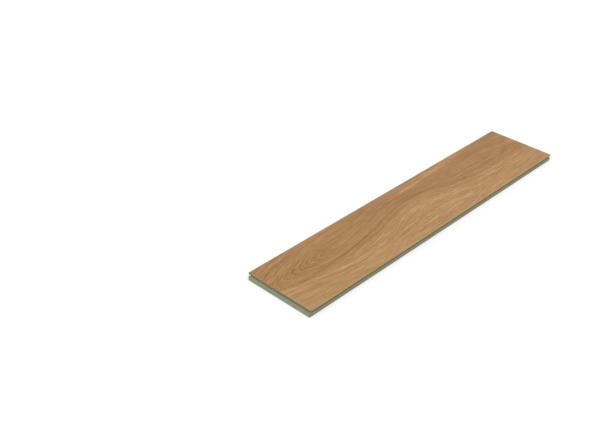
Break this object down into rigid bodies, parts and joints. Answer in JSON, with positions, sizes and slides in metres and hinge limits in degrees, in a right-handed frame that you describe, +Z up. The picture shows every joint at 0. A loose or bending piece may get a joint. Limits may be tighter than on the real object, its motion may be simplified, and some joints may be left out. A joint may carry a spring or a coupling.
{
  "type": "herringbone laminate plank",
  "caption": "Rectangular laminate floor plank with an oak decor face, a green fibreboard core, bevelled top edges, and tongue and groove click edges for laying in a herringbone pattern.",
  "frame": {"origin": "on the underside, below the middle of the decor face", "axes": "+X along the plank from its groove end to its tongue end, +Y across it from its groove side to its tongue side, +Z up through the decor face"},
  "size_m": [0.6709, 0.1364, 0.012],
  "materials": {
    "green_fibreboard": "milled moisture-resistant fibreboard, matt, grey green",
    "oak_decor": "satin printed oak decor under a clear wear layer"
  },
  "bodies": {
    "root": {"hdf_core": "green_fibreboard", "decor_layer": "oak_decor"}
  },
  "joints": []
}
